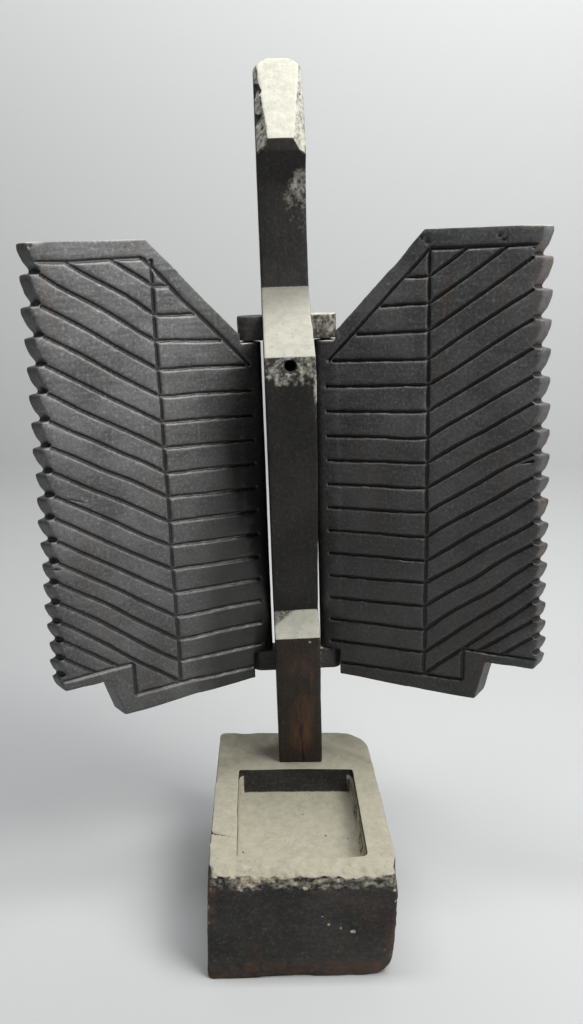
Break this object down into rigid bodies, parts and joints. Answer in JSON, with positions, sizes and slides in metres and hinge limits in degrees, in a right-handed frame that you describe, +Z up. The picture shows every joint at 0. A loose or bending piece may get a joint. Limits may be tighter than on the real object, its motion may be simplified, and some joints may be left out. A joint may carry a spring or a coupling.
{
  "type": "carved wooden bird figure",
  "caption": "Carved bird cut from a thick board on a tray base, with two toothed wing boards that swing on pintles between crossbars.",
  "frame": {"origin": "middle of the base's underside", "axes": "+Z up the bird, the breast and the wings' carved faces towards -Y, +X to the viewer's right"},
  "size_m": [0.3857, 0.2255, 0.6541],
  "materials": {
    "base_wood": "old dusty dark wood, worn brown at the edges",
    "bird_wood": "blackened wood, worn brown on the leg, dust on upward faces",
    "wing_wood": "blackened wood with a low satin sheen, chisel cut lines",
    "bar_wood": "blackened rough wood",
    "peg_wood": "dark brown whittled wood"
  },
  "bodies": {
    "stand": {"base_block": "base_wood", "foot_wedges": "peg_wood", "foot_peg": "peg_wood", "body_plank": "bird_wood", "upper_crossbar": "bar_wood", "lower_crossbar": "bar_wood", "upper_crossbar_peg": "peg_wood", "lower_crossbar_peg": "peg_wood"},
    "left_wing": {"left_wing": "wing_wood", "left_upper_pintle": "peg_wood", "left_lower_pintle": "peg_wood"},
    "right_wing": {"right_wing": "wing_wood", "right_upper_pintle": "peg_wood", "right_lower_pintle": "peg_wood"}
  },
  "joints": [
    {"name": "left_wing_hinge", "type": "hinge", "parent": "stand", "child": "left_wing", "pos_m": [-0.03478, 0.067, 0.31898], "axis": [-0.0436, 0, 0.999], "range_deg": [-116, 60]},
    {"name": "right_wing_hinge", "type": "hinge", "parent": "stand", "child": "right_wing", "pos_m": [0.02467, 0.067, 0.32158], "axis": [0.0436, 0, -0.999], "range_deg": [-116, 60]}
  ]
}
